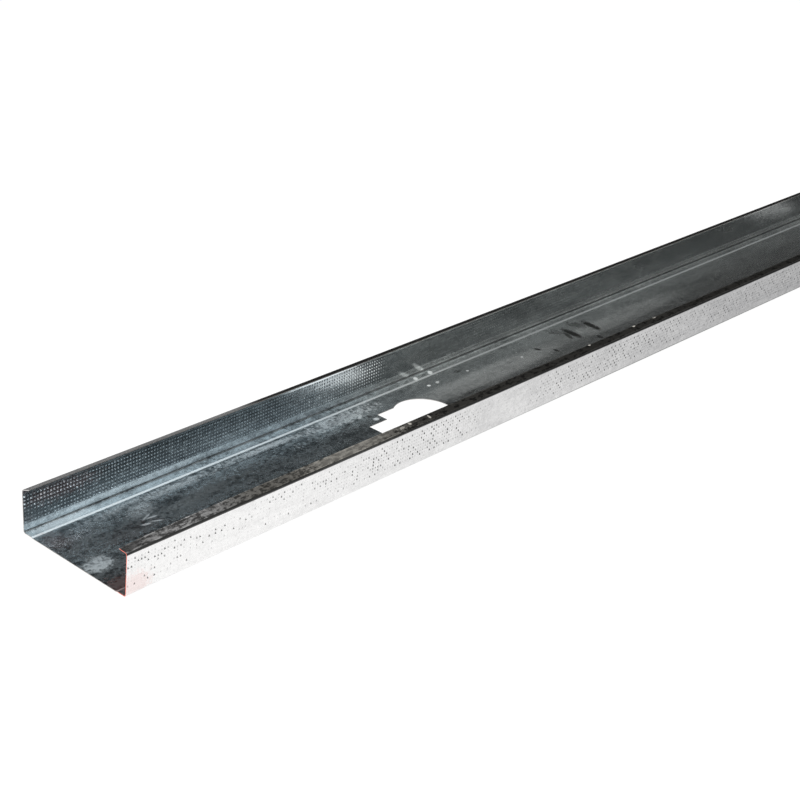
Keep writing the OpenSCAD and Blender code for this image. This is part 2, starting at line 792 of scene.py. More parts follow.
class EffectGroup:
    """A shader node group with named inputs and outputs, built once."""

    def __init__(
        self, name: str, inputs: dict[str, float | None], outputs: tuple[str, ...]
    ) -> None:
        """Makes the group and its sockets.

        Args:
            name: The group's name.
            inputs: Each input's name and starting value, or None for a vector.
            outputs: The names of the values that the group puts out.
        """
        self.tree = bpy.data.node_groups.new(name, "ShaderNodeTree")
        self.bench = NodeBench(self.tree)
        for label, start in inputs.items():
            kind = "NodeSocketVector" if start is None else "NodeSocketFloat"
            made = self.tree.interface.new_socket(label, in_out="INPUT", socket_type=kind)
            if start is not None:
                made.default_value = start
        for label in outputs:
            self.tree.interface.new_socket(label, in_out="OUTPUT", socket_type="NodeSocketFloat")
        self.given = self.tree.nodes.new("NodeGroupInput").outputs
        self.result = self.tree.nodes.new("NodeGroupOutput").inputs

    def place(self, bench: NodeBench, **values: object) -> bpy.types.NodeOutputs:
        """Places the group in a tree.

        Args:
            bench: The bench of that tree.
            values: What feeds each input, with _ for the blanks in its name.

        Returns:
            The placed group's outputs.
        """
        node = bench.add("Group", node_tree=self.tree)
        for label, value in values.items():
            bench.feed(node.inputs[label.replace("_", " ")], value)
        return node.outputs


@dataclass(frozen=True)
class PatternLayer:
    """One noise of the coating's pattern.

    Args:
        strength: The input that sets how strongly the layer shows.
        scale: Waves in a metre.
        detail: Number of finer layers.
        rough: Strength of each finer layer.
        tone: Its weight in the tone.
        relief: Its weight in the height.
        drawn: Its waves in a metre along the stud, as a share of those across it.
        swirl: How far it is stirred.
    """

    strength: str
    scale: float
    detail: float
    rough: float
    tone: float
    relief: float = 0.0
    drawn: float = 1.0
    swirl: float = 0.0

    def value(self, bench: NodeBench, vector: Socket) -> Socket:
        """Returns the layer's noise at a place."""
        if self.drawn != 1.0:
            vector = bench.stretched(vector, (self.drawn, 1, 1))
        return bench.noise(vector, self.scale, self.detail, self.rough, self.swirl)


FROST = PatternLayer("Grain", 420, 0, 0, tone=0.32, relief=0.2)
FINE = PatternLayer("Grain", 620, 3, 0.65, tone=0.8, relief=1.1)
MOTTLE = PatternLayer("Clouds", 210, 4, 0.72, tone=0.9, swirl=0.6)
CLOUD = PatternLayer("Clouds", 40, 5, 0.66, tone=1.1, drawn=0.3, swirl=1.2)
BROAD = PatternLayer("Streaks", 170, 3, 0.6, tone=0.8, relief=0.8, drawn=0.16)
NARROW = PatternLayer("Streaks", 640, 2, 0.6, tone=0.45, drawn=0.1)


class ZincSkin(EffectGroup):
    """The coating's own pattern: frosted grain, clouds and rolling streaks."""

    cloud_rough = 0.12
    least_rough = 0.085

    def __init__(self) -> None:
        """Builds the group."""
        super().__init__(
            "zinc_skin",
            {"Vector": None, "Grain": 1.0, "Clouds": 1.0, "Streaks": 1.0},
            ("Tone", "Roughness", "Height"),
        )
        bench, vector = self.bench, self.given["Vector"]
        frost = bench.add("TexVoronoi", feature="F1")
        bench.feed(frost.inputs["Vector"], vector)
        bench.feed(frost.inputs["Scale"], FROST.scale)
        grey = bench.add("SeparateColor")
        bench.feed(grey.inputs[0], frost.outputs["Color"])
        layers = {FROST: grey.outputs[0]}
        for layer in (FINE, MOTTLE, CLOUD, BROAD, NARROW):
            layers[layer] = layer.value(bench, vector)
        rough = bench.maths("MULTIPLY_ADD", layers[CLOUD], self.cloud_rough, self.least_rough)
        bench.feed(self.result["Roughness"], rough)
        tone: Feed = 0.0
        relief: Feed = 0.0
        for layer, value in layers.items():
            centred = bench.maths("SUBTRACT", value, 0.5)
            tone = self.added(tone, centred, layer.strength, layer.tone)
            if layer.relief:
                relief = self.added(relief, centred, layer.strength, layer.relief)
        bench.feed(self.result["Tone"], tone)
        bench.feed(self.result["Height"], relief)

    def added(self, total: Feed, value: Socket, strength: str, weight: float) -> Socket:
        """Returns a total with one weighted value added.

        Args:
            total: The total so far.
            value: The value.
            strength: The input that its weight is multiplied by.
            weight: Its weight.
        """
        full = self.bench.maths("MULTIPLY", self.given[strength], weight)
        return self.bench.maths("MULTIPLY_ADD", value, full, total)


class SoftSpot(EffectGroup):
    """One mark: a soft ragged spot at its own place, for scuffs, scratches, smudges, stains and
    painted highlights alike.
    """

    full_reach = 0.45
    last_reach = 1.05

    def __init__(self) -> None:
        """Builds the group."""
        inputs = {"Vector": None, "Middle": None, "Turn": None, "Reach": None, "Rag": 0.0}
        super().__init__("soft_spot", inputs, ("Mask",))
        bench = self.bench
        spot = bench.add("Mapping", vector_type="TEXTURE")
        for socket, label in zip(spot.inputs, ("Vector", "Middle", "Turn", "Reach")):
            bench.feed(socket, self.given[label])
        reach = bench.add("VectorMath", operation="LENGTH")
        bench.feed(reach.inputs[0], spot.outputs[0])
        edge = bench.maths("ADD", reach.outputs["Value"], self.given["Rag"])
        mask = bench.ramp(edge, self.full_reach, self.last_reach, 1.0, 0.0)
        bench.feed(self.result["Mask"], mask)


@dataclass(frozen=True)
class ZoneEdges:
    """How far the sheet's zones reach past the corners of its section.

    Args:
        soft: Half the width over which a zone's edge fades.
        low: Height of the web's own zones over its strips.
        shoulder: How far a lip's zone runs out past the web's width.
        lip_under: How far below the flange's top a lip's zone begins.
        edge_glint_w: Width of the painted highlight along a lip's free edge.
        bend_h: Height of the top bend's zone.
        crease_in: How far a crease's zone runs inwards.
        crease_out: How far a crease's zone runs outwards.
        strip_in: Distance from a crease to its strip's zone.
        foot_w: The foot bend's width, as a share of its radius.
        foot_h: The foot bend's height, as a share of its radius.
    """

    soft: float = 0.15 * MM
    low: float = 0.5 * MM
    shoulder: float = 0.45 * MM
    lip_under: float = 0.2 * MM
    edge_glint_w: float = 0.35 * MM
    bend_h: float = 1.5 * MM
    crease_in: float = 1.25 * MM
    crease_out: float = 0.25 * MM
    strip_in: float = 0.3 * MM
    foot_w: float = 0.6
    foot_h: float = 0.8


class SheetZones(EffectGroup):
    """Masks of the places that roll forming leaves with a look of their own, and of the places
    where the coats paint highlights and shade.
    """

    labels = ("Near lip", "Far lip", "Edge glint", "Bend", "Crease", "Strip", "Foot", "Flange", "Band")

    def __init__(self, section: StudSection, edges: ZoneEdges) -> None:
        """Builds the group.

        Args:
            section: The section's sizes.
            edges: How far the zones reach.
        """
        super().__init__("sheet_zones", {"Vector": None}, self.labels)
        bench, soft = self.bench, edges.soft
        parts = bench.parts(self.given["Vector"])
        across, z = parts["Y"], parts["Z"]
        aside = bench.maths("ABSOLUTE", across)
        half, top = section.web_w / 2, section.flange_h
        crease = half - section.strip_w
        foot = half - section.sheet_t - edges.foot_w * section.bend_r
        strip_top = section.strip_rise + section.sheet_t
        lip_edge = section.flange_top().x - section.lip_w * math.cos(section.lip_rise)
        band_top = top - section.band_drop

        def above(value: Socket, start: float) -> Socket:
            """Returns a mask of where a value is past its start."""
            return bench.ramp(value, start - soft, start + soft, 0.0, 1.0)

        def below(value: Socket, end: float) -> Socket:
            """Returns a mask of where a value is short of its end."""
            return bench.ramp(value, end - soft, end + soft, 1.0, 0.0)

        def both(first: Socket, second: Socket) -> Socket:
            """Returns a mask of where both masks hold."""
            return bench.maths("MULTIPLY", first, second)

        low = below(z, strip_top + edges.low)
        outer = above(aside, foot)
        lip = both(above(z, top - edges.lip_under), below(aside, half + edges.shoulder))
        rim = both(above(aside, crease - edges.crease_in), below(aside, crease + edges.crease_out))
        strip = both(above(aside, crease + edges.strip_in), below(aside, foot))
        band = both(above(z, band_top - section.band_h), below(z, band_top))
        # The lip edges, top bends, creases, strips and foot bends are where the coats paint
        # highlights and shade.
        masks = (
            both(lip, below(across, 0)),
            both(lip, above(across, 0)),
            both(above(z, top), below(aside, lip_edge + edges.edge_glint_w)),
            both(above(z, top - edges.bend_h), above(aside, half)),
            both(rim, low),
            both(strip, low),
            both(outer, below(z, strip_top + edges.foot_h * section.bend_r)),
            both(above(z, section.sheet_t + section.bend_r), outer),
            both(band, outer),
        )
        for label, mask in zip(self.labels, masks):
            bench.feed(self.result[label], mask)


@dataclass(frozen=True)
class Mark:
    """One mark on the sheet.

    Args:
        middle: Its middle in the row frame, in millimetres.
        reach: Half its length and half its width, in millimetres.
        turn: The angle of its length round the axis that it is seen along, in degrees.
        strength: How strongly it shows.
        upright: Whether it is on a flange instead of the web.
        ragged: How ragged its outline is.
    """

    middle: tuple[float, float, float]
    reach: Pair
    turn: float = 0.0
    strength: float = 1.0
    upright: bool = False
    ragged: float = 0.5

    half_depth = 3 * MM
    tearing = 3

    def mask(self, bench: NodeBench, group: SoftSpot, place: Socket, rag: Socket) -> Socket:
        """Returns the mark's mask.

        Args:
            bench: The bench of the material's tree.
            group: The group that draws a mark.
            place: Object coordinates.
            rag: A noise about zero that tears the outline.
        """
        length, width, deep = self.reach[0] * MM, self.reach[1] * MM, self.half_depth
        angle = math.radians(self.turn)
        reach = (length, deep, width) if self.upright else (length, width, deep)
        turn = (0, -angle, 0) if self.upright else (0, 0, angle)
        middle = tuple(part * MM for part in self.middle)
        torn = bench.maths("MULTIPLY", rag, self.tearing * self.ragged)
        made = group.place(bench, Vector=place, Middle=middle, Turn=turn, Reach=reach, Rag=torn)
        return bench.maths("MULTIPLY", made["Mask"], self.strength)


INSIDE_PALE = (
    Mark((-1209, -9, 0.5), (9, 13), -80, 0.5),
    Mark((-1158.7, 7.6, 0.5), (4.2, 1.3), -12, 1.3, ragged=0.12),
    Mark((-1150.5, 11.9, 0.5), (5.6, 1.0), -7, 1.0, ragged=0.12),
    Mark((-1153.2, 14.2, 0.5), (6.4, 1.0), 23, 0.8, ragged=0.12),
    Mark((-1150.8, 6.6, 0.5), (5.8, 1.0), -26, 0.9, ragged=0.12),
    Mark((-1150, 22, 0.5), (16, 9), 20, 0.3, ragged=0.7),
    Mark((-1140, 46, 4.6), (85, 3.0), 0, 0.3, upright=True, ragged=0.4),
    Mark((-1018.6, 20.4, 0.5), (4.8, 0.8), -85, 0.5, ragged=0.1),
    Mark((-1120, 31.5, 0.5), (70, 4.6), 0, 0.3, ragged=0.9),
    Mark((-1035, 32.8, 0.5), (60, 3.4), -1.5, 0.4, ragged=0.9),
    Mark((-1118, 14.0, 0.5), (50, 6), 2, 0.18, ragged=1.0),
    Mark((-968, 30, 0.5), (42, 8), 0, 0.42, ragged=1.0),
    Mark((-830, 12, 0.5), (110, 13), 0, 0.2, ragged=0.15),
    Mark((-655, 14, 0.5), (110, 12), 0, 0.13, ragged=0.15),
    Mark((-1193, 42, 0.9), (32, 4.6), 0, 0.4),
    Mark((-878.9, 27.3, 0.5), (1.9, 1.7), 0, 1.1, ragged=0.1),
    Mark((-869.8, 27.2, 0.5), (2.6, 1.7), 20, 0.6, ragged=0.2),
    Mark((-837.2, 26, 0.5), (1.6, 1.4), 0, 0.6, ragged=0.1),
    Mark((-785.5, 15.9, 0.5), (1.6, 1.4), 0, 0.7, ragged=0.1),
    Mark((-954.4, 24.3, 0.5), (5, 1.8), 30, 0.5, ragged=0.3),
    Mark((-963, 23.2, 0.5), (4, 1.3), 10, 0.45, ragged=0.3),
    Mark((-948, 15.0, 0.5), (3.0, 2.4), 0, 0.9, ragged=0.2),
    Mark((-711.4, 16.4, 0.5), (6, 1.8), -98, 0.25, ragged=0.3),
    Mark((-878.5, 40.6, 0.9), (3.4, 2.4), 40, 0.9, ragged=0.2),
    Mark((-862.2, 40.8, 0.9), (3.6, 2.4), 40, 1.0, ragged=0.2),
    Mark((-887.1, 46.2, 5.0), (9.0, 1.8), -30, 0.45, upright=True, ragged=0.3),
    Mark((-870.6, 46.2, 5.9), (9.5, 2.1), -34, 0.6, upright=True, ragged=0.3),
)
# Painted highlights on the far flange under its lip: the reflection of the floor seen through the
# first service hole.
INSIDE_PAINTED_HIGHLIGHTS = (
    Mark((-970, 46.4, 26.8), (42, 3.0), 0, 1.0, upright=True, ragged=0.1),
    Mark((-955, 46.4, 21), (40, 8), 0, 0.7, upright=True, ragged=0.3),
)
INSIDE_DARK = (
    Mark((-764.7, 17.0, 0.5), (4.2, 2.1), -65, 0.95, ragged=0.2),
    Mark((-754.6, 6.8, 0.5), (4.0, 2.2), -89, 0.9, ragged=0.2),
    Mark((-718.6, 18.5, 0.5), (14.5, 4.4), -93, 0.95, ragged=0.3),
    Mark((-724.5, 18.0, 0.5), (9.5, 2.6), -110, 0.85, ragged=0.3),
    Mark((-693.6, 18.5, 0.5), (13.0, 4.6), -97, 0.95, ragged=0.45),
    Mark((-702.0, 26.0, 0.5), (10.0, 7.0), -60, 0.5, ragged=0.9),
    Mark((-727.0, 27.0, 0.5), (9.0, 6.0), -60, 0.4, ragged=0.9),
    Mark((-706.7, 1.2, 0.5), (4.8, 2.4), -84, 0.9),
    Mark((-844.5, 30.1, 0.5), (4.0, 2.6), 0, 0.45),
    Mark((-1130, 12, 0.5), (150, 18), 0, 0.55, ragged=0.8),
    Mark((-1010, 11, 0.5), (70, 14), 0, 0.45, ragged=0.8),
    Mark((-350, 46, 15), (420, 22), 0, 0.4, upright=True, ragged=0.2),
    Mark((-867, 0.5, 0.5), (13, 2.2), 8, 0.7, ragged=0.8),
    Mark((-949, 20.6, 0.5), (2.4, 2.6), 0, 0.7),
    Mark((-972, 20.0, 0.5), (14, 2.0), 18, 0.5, ragged=0.9),
    Mark((-1213, -30, 0.5), (12, 16), 0, 0.2, ragged=0.6),
    Mark((-1060, 29.0, 0.5), (70, 0.9), -1, 0.5, ragged=0.7),
    Mark((-1065, 36.2, 0.5), (90, 0.6), 0, 0.5, ragged=0.6),
    Mark((-1212, -46, 15), (9, 15), 0, 0.3, upright=True),
    Mark((-1168, 26, 0.5), (24, 7), 0, 0.35, ragged=0.9),
    Mark((-1098, 14, 0.5), (55, 8), 2, 0.74, ragged=0.8),
    Mark((-1120, 46.5, 27.4), (110, 2.2), 0, 0.4, upright=True),
    Mark((-600, 46, 4.5), (430, 2.6), 0, 0.5, upright=True),
    Mark((-700, 46, 12), (330, 14), 0, 0.22, upright=True, ragged=0.2),
)
INSIDE_RUST = (
    Mark((-1192, 46.4, 21), (34, 8), 0, 0.26, upright=True, ragged=0.9),
    Mark((-1211, 27, 0.5), (9, 13), 0, 0.24, ragged=0.9),
    Mark((-1172, 6, 0.5), (24, 10), 0, 0.16, ragged=1.2),
    Mark((-1213, -46, 14), (16, 18), 0, 0.55, upright=True, ragged=0.7),
    Mark((-1217, -46, 5.8), (4, 0.8), 0, 0.9, upright=True, ragged=0.4),
    Mark((-1212, -36, 0.5), (15, 13), 0, 0.6, ragged=0.8),
    Mark((-1217.5, 46.5, 28), (3, 3), 0, 0.4, upright=True),
)
OUTSIDE_PALE = (
    Mark((-1035, -43, 30), (62, 8), 0, 0.52, ragged=0.3),
    Mark((-989, -42.6, 30), (3.4, 1.8), 20, 0.7),
    Mark((-981, -42.0, 30), (2.0, 1.6), 0, 0.9, ragged=0.4),
    Mark((-963, -42.8, 30), (1.2, 2.4), 0, 0.9, ragged=0.3),
    Mark((-783, -40.6, 30), (1.8, 1.0), 0, 1.2, ragged=0.2),
    Mark((-727, -40.6, 30), (2.2, 1.2), 0, 1.2, ragged=0.2),
    Mark((-700, -40.8, 30), (2.8, 0.9), 0, 0.8, ragged=0.4),
)
OUTSIDE_DARK = (
    Mark((-1120, -43.5, 30), (42, 8), 0, 0.3, ragged=0.8),
    Mark((-1000, -43, 30), (6, 8), 0, 0.5, ragged=0.8),
)
OUTSIDE_RUST = (Mark((-1212, -46.5, 7), (14, 9), 0, 0.3, upright=True, ragged=0.6),)


@dataclass(frozen=True)
class Stretches:
    """Stretches along X over which the coat changes from its start's look to the rest's.

    Args:
        tone: Where the zinc's brightness changes; on the outside its fall is painted shade, the
            light's falloff along the stud.
        pattern: Where its pattern and its tint change.
        handled_and_lit: Where its strips' painted light, its pits' painted shade and the near
            lip's specks change.
        crease: Where its creases' painted highlight fades.
        tan: Where the near lip's tint begins.
        foot: Where the painted shade in its foot bends deepens.
        near_lip: Where the near lip's painted shade begins.
        far_lip: Where the far lip's painted shade begins.
    """

    tone: Pair = (-1.3, -0.42)
    pattern: Pair = (-1.02, -0.86)
    handled_and_lit: Pair = (-1.15, -0.95)
    crease: Pair = (-1.15, -0.75)
    tan: Pair = (-1.16, -1.11)
    foot: Pair = (-1.0, -0.7)
    near_lip: Pair = (-1.0, -0.95)
    far_lip: Pair = (-1.06, -1.03)


@dataclass(frozen=True)
class ZincFinish:
    """One face's galvanised coating. A pair holds the start's value and the rest's.

    Args:
        name: The material's name.
        pale: Colour where the zinc is brightest.
        dull: Colour where the zinc is dullest.
        tone: How bright the coat is at the start, and further along; the outside's fall is painted
            shade.
        grain: Strength of the frosted grain.
        clouds: Strength of the clouds.
        streaks: Strength of the rolling streaks.
        pale_marks: Scratches and rubbed places.
        dark_marks: Smudges.
        rust_marks: Rusty places.
        foot_shade: How dark the painted shade in the foot bend is, at the start and further along.
        far_fade: How much of the pattern is left further along.
        pit_shown: Depths at which a pit begins to show, and at which it shows fully.
        painted_highlight_marks: Painted highlights: the reflection of the floor seen through the
            first service hole, on the far flange under its lip.
        strip_light: Painted light on the raised strips: how much brighter they are at the start,
            and further along.
        pit_shade: How dark the painted shade in the knurling's pits is, at the start and further
            along.
        bump_light_and_shade: Painted shade and highlights of the knurling: how much darker its
            ground is, and how much brighter its bumps.
        flange_calm: How much of the coat's pattern the rolls pressed away on the flanges.
        bend_shade: How dark the painted shade along the top bend is.
        crease_light: The creases' painted highlight: how bright they are at the start, and further
            along.
        edge_glint_tone: How bright the painted highlight along the lips' free edges is.
        pale_gain: How much brighter a pale mark is.
        bright_gain: How much brighter a painted highlight makes the coat.
        lip_tone: How bright the coat is on the near lip, and on the far one.
        lip_speck: How dark the near lip's specks are.
        speck_shown: Noise up to which a speck shows fully, and at which it ends.
        near_lip_shade: How dark the painted shade on the near lip is, at the start and further
            along.
        far_lip_shade: How dark the painted shade on the far lip is, at the start and further
            along: a painted dark reflection.
        clear_marks: Strengths at which a pale mark begins to clear the near lip's specks and
            painted shade, and clears them.
        stain_and_shade_rough: How much rougher stains and the places of painted shade are.
        far_lip_rough: How much rougher the far lip is.
        bright_smooth: How much smoother the coat is under a painted highlight.
        relief: Height of the coating's relief.
        metallic: How metallic the coating is.
        rubbed_chalk: How much less metallic rubbed places and creases are.
        dirt_and_shade: Colour of smudges, and of the painted shade in pits, bends and corners and
            on the lips.
        rust: Colour of the rust.
        tan: Tint of the near lip.
        tan_shown: How strongly that tint shows.
        cast: Tint of the whole coat.
        rag_waves: Waves in a metre of the noise that tears the marks.
        speck_waves: Waves in a metre of the near lip's specks.
        speck_drawn: Their waves along the stud, as a share of those across it.
    """

    name: str
    pale: Colour
    dull: Colour
    tone: Pair
    grain: float
    clouds: float
    streaks: float
    pale_marks: tuple[Mark, ...]
    dark_marks: tuple[Mark, ...]
    rust_marks: tuple[Mark, ...]
    foot_shade: Pair
    far_fade: float
    pit_shown: Pair
    painted_highlight_marks: tuple[Mark, ...] = ()
    strip_light: Pair = (0.0, 0.0)
    pit_shade: Pair = (0.0, 0.0)
    bump_light_and_shade: Pair = (0.0, 0.0)
    flange_calm: float = 0.0
    bend_shade: float = 0.0
    crease_light: Pair = (1.0, 0.2)
    edge_glint_tone: float = 0.9
    pale_gain: float = 0.6
    bright_gain: float = 0.5
    lip_tone: Pair = (0.32, 0.5)
    lip_speck: Pair = (0.85, 0.97)
    speck_shown: Pair = (0.42, 0.6)
    near_lip_shade: Pair = (0.0, 0.74)
    far_lip_shade: Pair = (0.35, 0.985)
    clear_marks: Pair = (0.35, 0.8)
    stain_and_shade_rough: float = 0.3
    far_lip_rough: float = 0.3
    bright_smooth: float = 0.07
    relief: float = 0.05 * MM
    metallic: float = 0.96
    rubbed_chalk: float = 0.6
    dirt_and_shade: Colour = (0.012, 0.012, 0.011)
    rust: Colour = (0.34, 0.10, 0.07)
    tan: Colour = (0.80, 0.77, 0.70)
    tan_shown: Pair = (0.1, 1.0)
    cast: tuple[Colour, Colour] = ((1.0, 1.0, 1.0), (1.0, 1.0, 1.0))
    rag_waves: float = 480
    speck_waves: float = 400
    speck_drawn: float = 0.45


class ZincCoat:
    """Builds one face's coating, in a material of its own."""

    stretches = Stretches()

    def __init__(
        self, finish: ZincFinish, zones: SheetZones, skin: ZincSkin, spot_maker: SoftSpot
    ) -> None:
        """Adds the groups, the attributes and the marks that the coating's parts read.

        Args:
            finish: The coating's values.
            zones: The group that masks the sheet's zones.
            skin: The group that draws the coating's pattern.
            spot_maker: The group that draws a mark.
        """
        self.finish, self.spot_maker = finish, spot_maker
        self.made = bpy.data.materials.new(finish.name)
        self.made.use_nodes = True
        self.bench = bench = NodeBench(self.made.node_tree)
        self.place = place = bench.add("TexCoord").outputs["Object"]
        self.zone = zones.place(bench, Vector=place)
        strengths = {"Grain": finish.grain, "Clouds": finish.clouds, "Streaks": finish.streaks}
        self.skin = skin.place(bench, Vector=place, **strengths)
        self.rag = bench.maths("SUBTRACT", bench.noise(place, finish.rag_waves, 3.0, 0.6), 0.5)
        self.pit = bench.add("Attribute", attribute_name="pit").outputs["Fac"]
        self.x = bench.parts(place)["X"]
        self.pale = self.strongest(finish.pale_marks)
        # The painted highlights under the far lip.
        self.bright = self.strongest(finish.painted_highlight_marks)
        self.rust = self.strongest(finish.rust_marks)

    def material(self) -> bpy.types.Material:
        """Feeds the material's shader, and returns the material."""
        bench, finish, zone = self.bench, self.finish, self.zone
        shader = self.made.node_tree.nodes["Principled BSDF"]
        # Smudges and painted shade share one dark colour.
        dirt_and_shade = self.dirt_and_shade()
        soiled_and_shaded = bench.blend(dirt_and_shade, self.colour(), (*finish.dirt_and_shade, 1))
        bench.feed(shader.inputs["Base Color"], soiled_and_shaded)
        rough = self.skin["Roughness"]
        for mask, change in (
            (bench.maths("MAXIMUM", dirt_and_shade, self.rust), finish.stain_and_shade_rough),
            (zone["Far lip"], finish.far_lip_rough),
            (self.bright, -finish.bright_smooth),
        ):
            rough = bench.maths("MULTIPLY_ADD", mask, change, rough)
        bench.feed(shader.inputs["Roughness"], rough)
        # Creases lose metal here too, so that their painted highlight shows.
        rubbed = bench.maths("MAXIMUM", zone["Crease"], bench.maths("MINIMUM", self.pale, 1.0))
        metallic = bench.maths("MULTIPLY_ADD", rubbed, -finish.rubbed_chalk, finish.metallic)
        bench.feed(shader.inputs["Metallic"], metallic)
        bump = bench.add("Bump")
        bench.feed(bump.inputs["Strength"], 1.0)
        bench.feed(bump.inputs["Distance"], finish.relief)
        bench.feed(bump.inputs["Height"], self.skin["Height"])
        bench.feed(shader.inputs["Normal"], bump.outputs[0])
        return self.made

    def tone(self) -> Socket:
        """Returns how bright the zinc is at each place, from dull to pale, with its painted light
        and shade: the fall along the outside, the lit strips, the knurling's lit bumps and shaded
        ground, and the highlights on creases, lip edges and under the far lip.
        """
        bench, finish, zone = self.bench, self.finish, self.zone
        runs = self.stretches
        # On the outside the tone's fall along the stud is painted shade, the light's falloff.
        tone = self.along(runs.tone, finish.tone)
        for lip, goal in zip(("Near lip", "Far lip"), finish.lip_tone):
            tone = self.towards(tone, zone[lip], goal)
        # Painted light on the raised strips.
        strip = self.along(runs.handled_and_lit, finish.strip_light)
        calm = bench.maths("MULTIPLY_ADD", zone["Flange"], -finish.flange_calm, 1.0)
        pattern = bench.maths("MULTIPLY", self.skin["Tone"], calm)
        fade = self.along(runs.pattern, (1.0, finish.far_fade))
        # Painted shade on the knurled ground and painted highlights on its bumps.
        ground, top = finish.bump_light_and_shade
        bumps = bench.ramp(self.pit, *finish.pit_shown, -ground, top)
        for mask, change in ((zone["Strip"], strip), (pattern, fade), (zone["Band"], bumps)):
            tone = bench.maths("MULTIPLY_ADD", mask, change, tone)
        # The creases get a painted highlight, strong at the start.
        tone = self.towards(tone, zone["Crease"], self.along(runs.crease, finish.crease_light))
        # The lips' free edges get a painted highlight.
        tone = self.towards(tone, zone["Edge glint"], finish.edge_glint_tone)
        tone = bench.maths("MULTIPLY_ADD", self.pale, finish.pale_gain, tone)
        # The painted highlights under the far lip brighten the tone.
        return bench.maths("MULTIPLY_ADD", self.bright, finish.bright_gain, tone, clamp=True)

    def colour(self) -> Socket:
        """Returns the coat's colour with its tints and its rust, but without its smudges and
        painted shade.
        """
        bench, finish, runs = self.bench, self.finish, self.stretches
        colour = bench.blend(self.tone(), (*finish.dull, 1), (*finish.pale, 1))
        begun = self.along(runs.pattern, (0.0, 1.0))
        cast = bench.blend(begun, *((*tint, 1) for tint in finish.cast))
        colour = bench.tint(1.0, colour, cast)
        shown = self.along(runs.tan, finish.tan_shown)
        tanned = bench.maths("MULTIPLY", self.zone["Near lip"], shown)
        colour = bench.tint(tanned, colour, (*finish.tan, 1))
        return bench.blend(self.rust, colour, (*finish.rust, 1))

    def dirt_and_shade(self) -> Feed:
        """Returns how dark the coat is made at each place: its smudges, and the painted shade in
        its bends and pits and on its lips.
        """
        bench, finish, runs = self.bench, self.finish, self.stretches
        unrubbed = bench.ramp(self.pale, *finish.clear_marks, 1.0, 0.0)
        # Painted shade in the knurling's pits.
        shown = bench.ramp(self.pit, *finish.pit_shown, 0.0, 1.0)
        pits = bench.maths("MULTIPLY", shown, self.along(runs.handled_and_lit, finish.pit_shade))
        # Smudges, then painted shade in the bends, on the lips and in the pits; the near lip's
        # specks are real.
        dirt_and_shade = self.strongest(finish.dark_marks)
        for label, strength in (
            # Painted shade in the foot bend.
            ("Foot", self.along(runs.foot, finish.foot_shade)),
            # Painted shade along the top bend.
            ("Bend", finish.bend_shade),
            # Painted shade on the near lip past its start, over its real specks.
            ("Near lip", bench.maths("MULTIPLY", self.near_lip_specks_and_shade(), unrubbed)),
            # Painted shade on the far lip, a dark reflection.
            ("Far lip", self.along(runs.far_lip, finish.far_lip_shade)),
            # Painted shade in the pits.
            ("Band", pits),
        ):
            darkened = bench.maths("MULTIPLY", self.zone[label], strength)
            dirt_and_shade = bench.maths("MAXIMUM", dirt_and_shade, darkened)
        return dirt_and_shade

    def near_lip_specks_and_shade(self) -> Socket:
        """Returns how dark the near lip is made: its fine dark specks, and the painted shade past
        its start.
        """
        bench, finish, runs = self.bench, self.finish, self.stretches
        drawn = bench.stretched(self.place, (finish.speck_drawn, 1, 1))
        grit = bench.noise(drawn, finish.speck_waves, 3.0, 0.75)
        darkest = self.along(runs.handled_and_lit, finish.lip_speck)
        speck = bench.ramp(grit, *finish.speck_shown, darkest, 0.0)
        return bench.maths("MAXIMUM", speck, self.along(runs.near_lip, finish.near_lip_shade))

    def along(self, stretch: Pair, values: Pair) -> Socket:
        """Returns a value that changes over a stretch of the stud.

        Args:
            stretch: Where along X the change begins and ends.
            values: The value before it and after it.
        """
        return self.bench.ramp(self.x, *stretch, *values)

    def towards(self, value: Socket, mask: Socket, goal: Feed) -> Socket:
        """Returns a value carried to a goal where a mask holds."""
        step = self.bench.maths("MULTIPLY", self.bench.maths("SUBTRACT", goal, value), mask)
        return self.bench.maths("ADD", value, step)

    def strongest(self, marks: tuple[Mark, ...]) -> Feed:
        """Returns the strength of the strongest of many marks at each place."""
        most: Feed = 0.0
        for mark in marks:
            mask = mark.mask(self.bench, self.spot_maker, self.place, self.rag)
            most = self.bench.maths("MAXIMUM", most, mask)
        return most


